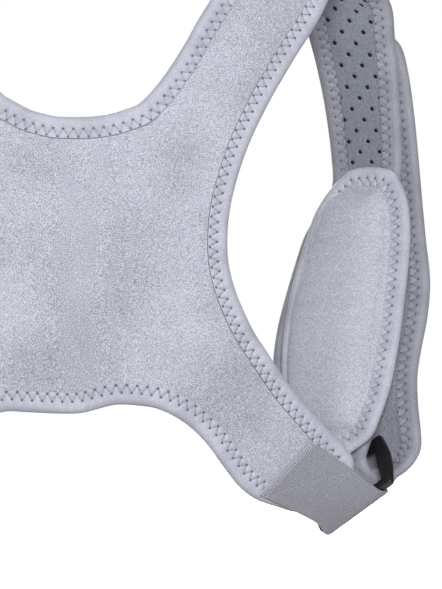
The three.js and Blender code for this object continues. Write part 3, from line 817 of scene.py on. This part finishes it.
# underarm pad
padForm = {
    "rim": 0.003,
    "dome": 0.012,
    "roll": 0.022,  # how far in from its rim the cushion rises
    "overhang": 0.019,  # over the tape on the side towards the back
    "overhangPower": 1.2,
    "sharper": 0.45,  # the roll is that much shorter on that side
    "plateau": 0.6,  # shares of the dome that rise at the rim and towards the middle
    "crown": 0.4,
    "steeper": 0.25,  # moved from the second to the first on that side
    "topBulge": 0.006,
    "lowBulge": 0.004,
    "cells": 14,
    "slack": 0.8,  # height before the pad swells, as a share of its dome
    "pressure": 4,
    "cap": 0.005,
    "heldBelow": 0.05,  # share of the dome
    "frames": 20,
    "rows": [
        [0.761, 0.825, 0.478, 0.905, 0.668, 0.477],
        [0.725, 0.849, 0.448, 0.923, 0.637, 0.447],
        [0.683, 0.837, 0.4, 0.935, 0.603, 0.4],
        [0.655, 0.817, 0.346, 0.936, 0.581, 0.347],
        [0.633, 0.795, 0.297, 0.93, 0.555, 0.298],
        [0.607, 0.764, 0.232, 0.917, 0.512, 0.235],
        [0.583, 0.714, 0.147, 0.898, 0.456, 0.152],
        [0.574, 0.681, 0.084, 0.88, 0.414, 0.091],
        [0.575, 0.637, 0.021, 0.858, 0.365, 0.03],
        [0.593, 0.592, -0.031, 0.831, 0.332, -0.021],
        [0.618, 0.533, -0.075, 0.802, 0.318, -0.066],
        [0.656, 0.44, -0.107, 0.745, 0.338, -0.1],
    ],
}
rows = [(spot(*r[:3]), spot(*r[3:])) for r in padForm["rows"]]
padCloth, padPairs, padCore = bandCloth(rows, padForm["cells"], padForm["topBulge"], padForm["lowBulge"])
pad = padCloth.piece("pad_right_cushion", Vector((0, -1, 0)))
padTape, padStitch = foldedTape("pad_right_tape", padCloth.stations(padPairs), True, padForm["rim"])
dome, lean = {}, {}
seam = [padCloth.points[k] for line in padCore for k in (line[0], line[-1])]
seam += [padCloth.points[k] for k in padCore[0] + padCore[-1]]
for i, line in enumerate(padCore):
    outwardWay = (padCloth.points[line[0]] - padCloth.points[line[-1]]).normalized()
    for j, point in enumerate(line):
        u, v = 2 * j / (len(line) - 1) - 1, 2 * i / (len(padCore) - 1) - 1
        inside = min((padCloth.points[point] - s).length for s in seam)
        steep = max(0, -u)
        roll = padForm["roll"] * (1 - padForm["sharper"] * steep)
        rolled = math.sqrt(1 - (1 - min(1, inside / roll)) ** 2)
        plateau = padForm["plateau"] + padForm["steeper"] * steep
        crown = padForm["crown"] - padForm["steeper"] * steep
        dome[point] = plateau * rolled + crown * (1 - u**2) * (1 - v**2)
        lean[point] = outwardWay * padForm["overhang"] * rolled * steep ** padForm["overhangPower"]
count = len(padCloth.points)
slackDome = padForm["dome"] * padForm["slack"]
above = [
    p + up * (padForm["rim"] / 2 + slackDome * dome.get(i, 0)) + lean.get(i, Vector())
    for i, (p, up) in enumerate(zip(padCloth.points, padCloth.normals))
]
below = [p - up * padForm["rim"] / 2 for p, up in zip(padCloth.points, padCloth.normals)]
cells = padCloth.cells
used = dict.fromkeys((a, b) for cell in cells for a, b in zip(cell, cell[1:] + cell[:1]))
rim = [(b, a, a + count, b + count) for a, b in used if (b, a) not in used]
walls = [tuple(i + count for i in cell[::-1]) for cell in cells]
bpy.data.objects.remove(pad)
pad = meshPiece("pad_right_cushion", above + below, list(cells) + walls + rim, padCloth.places * 2)
outwards(pad)
held = pad.vertex_groups.new(name="held")
for i in range(2 * count):
    free = i < count and dome.get(i, 0) > padForm["heldBelow"]
    if not free:
        held.add([i], 1, "REPLACE")
before = [v.co.copy() for v in pad.data.vertices]
bpy.context.scene.frame_set(1)
onlySelect(pad)
bpy.ops.object.modifier_add(type="CLOTH")
swell = pad.modifiers[-1]
swell.settings.use_pressure = True
swell.settings.uniform_pressure_force = padForm["pressure"]
swell.settings.effector_weights.gravity = 0
swell.settings.vertex_group_mass = "held"
swell.point_cache.frame_start, swell.point_cache.frame_end = 1, padForm["frames"]
for number in range(1, padForm["frames"] + 1):
    bpy.context.scene.frame_set(number)
bpy.ops.object.modifier_apply(modifier=swell.name)
most = max((vertex.co - old).length for vertex, old in zip(pad.data.vertices, before))
print("pad swelled by up to", round(most * 1000, 1), "mm before its cap")
for vertex, old in zip(pad.data.vertices, before):
    moved = vertex.co - old
    if moved.length > padForm["cap"]:
        vertex.co = old + moved.normalized() * padForm["cap"]
bpy.context.scene.frame_set(1)
applyModifier(pad, "SUBSURF", levels=1, render_levels=1)
smoothShade(pad, 60)
print("underarm pad made")


# finishes
class Wire:  # a socket that takes part in sums
    def __init__(self, tree, socket=None):
        self.tree, self.socket = tree, socket

    def node(self, kind, settings=None, out=0, **inputs):
        made = self.tree.nodes.new(kind)
        for name, value in (settings or {}).items():
            if name == "stops":
                ramp = made.color_ramp.elements
                while len(ramp) < len(value):
                    ramp.new(0.5)
                for stop, (at, colour) in zip(ramp, value):
                    stop.position, stop.color = at, (*colour, 1)
            else:
                setattr(made, name, value)
        for name, value in inputs.items():
            key = int(name[1:]) if name[0] == "i" and name[1:].isdigit() else name.replace("_", " ")
            if isinstance(value, Wire):
                self.tree.links.new(value.socket, made.inputs[key])
            else:
                made.inputs[key].default_value = value
        return Wire(self.tree, made.outputs[out])

    def sum(self, operation, first, second=None):
        inputs = {"i0": first} if second is None else {"i0": first, "i1": second}
        return self.node("ShaderNodeMath", {"operation": operation}, **inputs)

    def __add__(self, other):
        return self.sum("ADD", self, other)

    __radd__ = __add__

    def __mul__(self, other):
        return self.sum("MULTIPLY", self, other)

    __rmul__ = __mul__

    def __sub__(self, other):
        return self.sum("SUBTRACT", self, other)

    def __rsub__(self, other):
        return self.sum("SUBTRACT", other, self)

    def __truediv__(self, other):
        return self.sum("DIVIDE", self, other)

    def __pow__(self, other):
        return self.sum("POWER", self, other)

    def __abs__(self):
        return self.sum("ABSOLUTE", self)

    def fract(self):
        return self.sum("FRACT", self)

    def step(self, low, high):  # 0 below low, 1 above high, smooth between
        return self.node("ShaderNodeMapRange", {"interpolation_type": "SMOOTHSTEP"}, i0=self, i1=low, i2=high)

    def mix(self, first, second):  # colours
        return self.node("ShaderNodeMix", {"data_type": "RGBA"}, out=2, i0=self, i6=first, i7=second)


def finish(name, roughness, sheen=0.0):
    material = bpy.data.materials.new(name)
    material.use_nodes = True
    tree = material.node_tree
    shader = tree.nodes["Principled BSDF"]
    shader.inputs["Roughness"].default_value = roughness
    shader.inputs["Sheen Weight"].default_value = sheen
    return material, Wire(tree), shader


def grain(wires, size, detail=2.0, stretch=(1, 1, 1), use="Object", roughness=0.5):
    place = wires.node("ShaderNodeTexCoord", out=("Generated", "Normal", "UV", "Object").index(use))
    place = wires.node("ShaderNodeMapping", i0=place, Scale=stretch)
    return wires.node("ShaderNodeTexNoise", Vector=place, Scale=1 / size, Detail=detail, Roughness=roughness)


def dress(wires, shader, colour, height=None, depth=0.0005):
    wires.tree.links.new(colour.socket, shader.inputs["Base Color"])
    if height:
        bump = wires.node("ShaderNodeBump", i0=1.0, Distance=depth, Height=height)
        wires.tree.links.new(bump.socket, shader.inputs["Normal"])


def rgb(*values):
    return (*values, 1)


def alongAndAcross(wires):  # a point's place on its cloth or tape
    place = wires.node("ShaderNodeUVMap", {"uv_map": "cloth"})
    parts = wires.node("ShaderNodeSeparateXYZ", i0=place).socket.node
    return [Wire(wires.tree, parts.outputs[k]) for k in (0, 1)]


def outerFinish(name, dark, light):  # brushed knit with a fine mottle
    material, w, shader = finish(name, 0.93, 0.15)
    fine = grain(w, 0.00075, 4, roughness=0.7)
    patch = grain(w, 0.004, 4)
    wide = grain(w, 0.07, 2)
    tone = fine.step(0.36, 0.64) * 0.78 + patch * 0.2 + wide.step(0.3, 0.7) * 0.3 - 0.02
    colour = tone.step(0.1, 1.1).mix(rgb(*dark), rgb(*light))
    dress(w, shader, colour, fine + patch * 0.4, 0.0007)
    return material


def liningFinish():  # smooth knit with punched holes, painted near-black as the shade inside them
    material, w, shader = finish("punched_lining", 0.85, 0.1)
    shader.inputs["Specular IOR Level"].default_value = 0.12
    pitch, turn, radius = 0.0102, math.radians(50), 0.00145
    u, v = alongAndAcross(w)
    a = (u * math.cos(turn) + v * math.sin(turn)) / pitch
    b = (v * math.cos(turn) - u * math.sin(turn)) / pitch
    da, db = a.fract() - 0.5, b.fract() - 0.5
    away = (da * da + db * db) ** 0.5 * pitch
    # hole: painted shade that fills each punched hole
    hole = 1 - away.step(radius * 0.85, radius * 1.05)
    dent = away.step(radius * 0.9, radius * 1.9)
    fine = grain(w, 0.0012, 2)
    knit = fine.step(0.3, 0.7).mix(rgb(0.1, 0.108, 0.13), rgb(0.147, 0.156, 0.186))
    dress(w, shader, hole.mix(knit, rgb(0.004, 0.004, 0.006)), dent * 0.8 + fine * 0.2, 0.0005)
    return material


def tapeFinish(name, shade, light):  # smooth tape, with painted shade in the corners and along the channel of its zigzag, and a painted shadow along its inner edge
    material, w, shader = finish(name, 0.7, 0.15)
    u, q = alongAndAcross(w)
    share = (u / binding["pitch"]).fract()
    line = binding["near"] - (1 - abs(2 * share - 1)) * (binding["near"] - binding["far"])
    narrow, groove, hole, edgeShadowFrom = 0.0002, 0.0011, 0.0005, 0.0121
    # near: painted shade of the sunk channel beside the thread, along the zigzag
    near = 1 - abs(q - line).step(narrow, groove)
    uNear = abs((share + 0.5).fract() - 0.5) * binding["pitch"]
    uFar = abs(share - 0.5) * binding["pitch"]
    nearCorner = (uNear * uNear + (q - binding["near"]) * (q - binding["near"])) ** 0.5
    farCorner = (uFar * uFar + (q - binding["far"]) * (q - binding["far"])) ** 0.5
    # painted shade in the needle holes at the zigzag's corners
    needleHoleShade = (1 - nearCorner.step(hole, groove)) + (1 - farCorner.step(hole, groove))
    fine = grain(w, 0.0009, 3)
    wide = grain(w, 0.02, 3)
    smoothTone = (fine.step(0.3, 0.7) * 0.5 + wide.step(0.3, 0.7) * 0.5).mix(rgb(*shade), rgb(*light))
    sewn = (near * 0.55).mix(smoothTone, rgb(0.13, 0.132, 0.16))
    # painted shadow: a dark line along the inner edge, where the tape meets the cloth
    sewn = q.step(edgeShadowFrom, edgeShadowFrom + 0.0005).mix(sewn, rgb(0.06, 0.06, 0.075))
    dark = (needleHoleShade * 0.85).step(0.0, 1.0).mix(sewn, rgb(0.03, 0.03, 0.04))
    dress(w, shader, dark, fine, 0.00015)
    return material


def padFinish():  # satin brushed knit with fine cross wrinkles
    material, w, shader = finish("satin_knit", 0.62, 0.3)
    fine = grain(w, 0.0009, 3)
    wrinkle = grain(w, 0.006, 3, (2.2, 0.3, 1), "UV")
    wide = grain(w, 0.05, 1)
    tone = fine.step(0.36, 0.64) * 0.6 + wide * 0.2 + wrinkle * 0.3
    colour = tone.mix(rgb(0.14, 0.141, 0.171), rgb(0.31, 0.312, 0.365))
    dress(w, shader, colour, fine * 0.3 + wrinkle * 0.5, 0.0006)
    return material


def webFinish():  # ribbed elastic
    material, w, shader = finish("ribbed_elastic", 0.75, 0.05)
    ribPitch, crossPitch, slantPitch, edgeWide = 0.00125, 0.0009, 0.0014, 0.0042
    u, v = alongAndAcross(w)
    rib = abs((u / ribPitch).fract() - 0.5) * 2
    cross = abs((v / crossPitch).fract() - 0.5) * 2
    fine = grain(w, 0.001, 2)
    tone = (rib * 0.6 + fine * 0.4).step(0.2, 0.9)
    colour = tone.mix(rgb(0.115, 0.116, 0.135), rgb(0.255, 0.256, 0.29))
    slant = abs(((v + u * 0.5) / slantPitch).fract() - 0.5) * 2
    sewnEdge = (1 - u.step(edgeWide, edgeWide + 0.0008)) * slant.step(0.2, 0.5) * 0.8
    colour = sewnEdge.mix(colour, rgb(0.4, 0.402, 0.44))
    dress(w, shader, colour, rib + cross * 0.2 + fine * 0.2 + sewnEdge * 0.5, 0.0004)
    return material


def ringFinish():  # moulded plastic
    material, w, shader = finish("moulded_plastic", 0.35)
    shader.inputs["Specular IOR Level"].default_value = 0.2
    fine = grain(w, 0.0012, 3)
    colour = fine.mix(rgb(0.004, 0.004, 0.005), rgb(0.009, 0.009, 0.011))
    dress(w, shader, colour, fine, 0.00006)
    return material


def threadFinish():
    material, w, shader = finish("thread", 0.55, 0.1)
    twist = grain(w, 0.0006, 1)
    colour = twist.mix(rgb(0.15, 0.153, 0.185), rgb(0.25, 0.254, 0.3))
    dress(w, shader, colour, twist, 0.0001)
    return material


def webThreadFinish():
    material, w, shader = finish("pale_thread", 0.55, 0.1)
    twist = grain(w, 0.0006, 1)
    colour = twist.mix(rgb(0.16, 0.16, 0.18), rgb(0.28, 0.28, 0.31))
    dress(w, shader, colour, twist, 0.0001)
    return material


outer = outerFinish("brushed_knit", (0.165, 0.166, 0.2), (0.4, 0.402, 0.465))
# loops: the outer knit again, painted darker as the shade that falls on the strap's outer face
loops = outerFinish("loop_knit_painted_shade", (0.08, 0.082, 0.1), (0.21, 0.213, 0.255))
tapeLook = tapeFinish("edge_tape", (0.195, 0.198, 0.239), (0.315, 0.319, 0.372))
# the edge tape again, painted darker as the shade that falls on the strap's tape
strapTapePaintedShade = tapeFinish("strap_edge_tape", (0.105, 0.108, 0.131), (0.182, 0.186, 0.219))
lining, padLook = liningFinish(), padFinish()
webLook, ringLook, threadLook, webThread = webFinish(), ringFinish(), threadFinish(), webThreadFinish()


def paint(piece, slot, *looks):
    for i, look in enumerate(looks):
        if i < len(piece.data.materials):
            piece.data.materials[i] = look
        else:
            piece.data.materials.append(look)
    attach(piece, "root")


# pieces of both sides, each standing for its solid
paint(backPanel, "panel_cloth", outer, lining)
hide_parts("back_panel")
stitches = []
for node, (tape, stitch) in panelTapes.items():
    paint(tape, "edge_tape", tapeLook)
    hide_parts(node)
    paint(stitch, "edge_tape", threadLook)
    stitches += [tape, stitch]

sets = {
    # the strap's outer face takes the outer knit with painted shade
    "shoulder_strap": (shoulderStrap, "strap_cloth", (lining, loops)),
    # the strap's tape takes the edge tape with painted shade
    "strap_binding": (strapTape, "edge_tape", (strapTapePaintedShade,)),
    "strap_stitch": (strapStitch, "edge_tape", (threadLook,)),
    "underarm_pad": (pad, "pad_cloth", (padLook,)),
    "pad_binding": (padTape, "edge_tape", (tapeLook,)),
    "pad_stitch": (padStitch, "edge_tape", (threadLook,)),
    "webbing": (webbing, "elastic", (webLook, webLook)),
    "webbing_stitch": (webStitch, "elastic", (webThread,)),
    "ring": (ring, "ring_plastic", (ringLook,)),
}
for node, (piece, slot, looks) in sets.items():
    left = otherSide(piece, piece.name.replace("right", "left"))
    for side, one in (("right", piece), ("left", left)):
        paint(one, slot, *looks)
        if f"{node}_{side}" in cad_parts:
            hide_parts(f"{node}_{side}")
print("finishes on")

# stage, light and camera
studio = {
    "floorDrop": 0.62,
    "floorSize": 7,
    "floorBack": 1.5,
    "glow": 0.78,  # of the floor
    "ambient": 0.26,
    "lights": {  # place, what it points at, size, power
        "key": ((0.12, -2.0, 0.45), (0.05, 0, -0.2), 0.8, 77),
        "back": ((-0.3, 2.2, 0.9), (0, 0, -0.2), 1.2, 65),
        "fill": ((-1.4, -1.4, 0.3), (0, 0, -0.2), 1.2, 2),
    },
}
bpy.ops.object.select_all(action="DESELECT")
floorPlace = (0, studio["floorBack"], -studio["floorDrop"])
bpy.ops.mesh.primitive_plane_add(size=studio["floorSize"], location=floorPlace)
floor = bpy.context.object
floor.name = "floor"
pale = bpy.data.materials.new("pale_floor")
pale.use_nodes = True
paleInputs = pale.node_tree.nodes["Principled BSDF"].inputs
paleInputs["Base Color"].default_value = rgb(0.92, 0.92, 0.93)
paleInputs["Roughness"].default_value = 0.9
paleInputs["Emission Color"].default_value = rgb(1, 1, 1)
paleInputs["Emission Strength"].default_value = studio["glow"]
floor.data.materials.append(pale)
floor.visible_diffuse = False

world = bpy.data.worlds.new("studio")
bpy.context.scene.world = world
world.use_nodes = True
backdrop = world.node_tree.nodes["Background"]
backdrop.inputs["Color"].default_value = (1, 1, 1, 1)
seen = Wire(world.node_tree).node("ShaderNodeLightPath")
strength = seen * (1 - studio["ambient"]) + studio["ambient"]
world.node_tree.links.new(strength.socket, backdrop.inputs["Strength"])


def softLight(name, place, target, size, power):
    light = bpy.data.lights.new(name, "AREA")
    light.size, light.energy = size, power
    lamp = bpy.data.objects.new(name, light)
    lamp.location = place
    lamp.rotation_euler = (Vector(target) - Vector(place)).to_track_quat("-Z", "Y").to_euler()
    bpy.context.scene.collection.objects.link(lamp)


for name, setting in studio["lights"].items():
    softLight(name, *setting)

view = {"eye": (0, -1.362, -0.175), "aim": (0.08485, -0.062, -0.2182), "lens": 131.1}
cameraData = bpy.data.cameras.new("camera")
cameraData.lens, cameraData.sensor_width = view["lens"], 36
camera = bpy.data.objects.new("camera", cameraData)
camera.location = view["eye"]
camera.rotation_euler = (Vector(view["aim"]) - Vector(view["eye"])).to_track_quat("-Z", "Y").to_euler()
bpy.context.scene.collection.objects.link(camera)
bpy.context.scene.camera = camera
bpy.context.scene.view_settings.view_transform = "Standard"
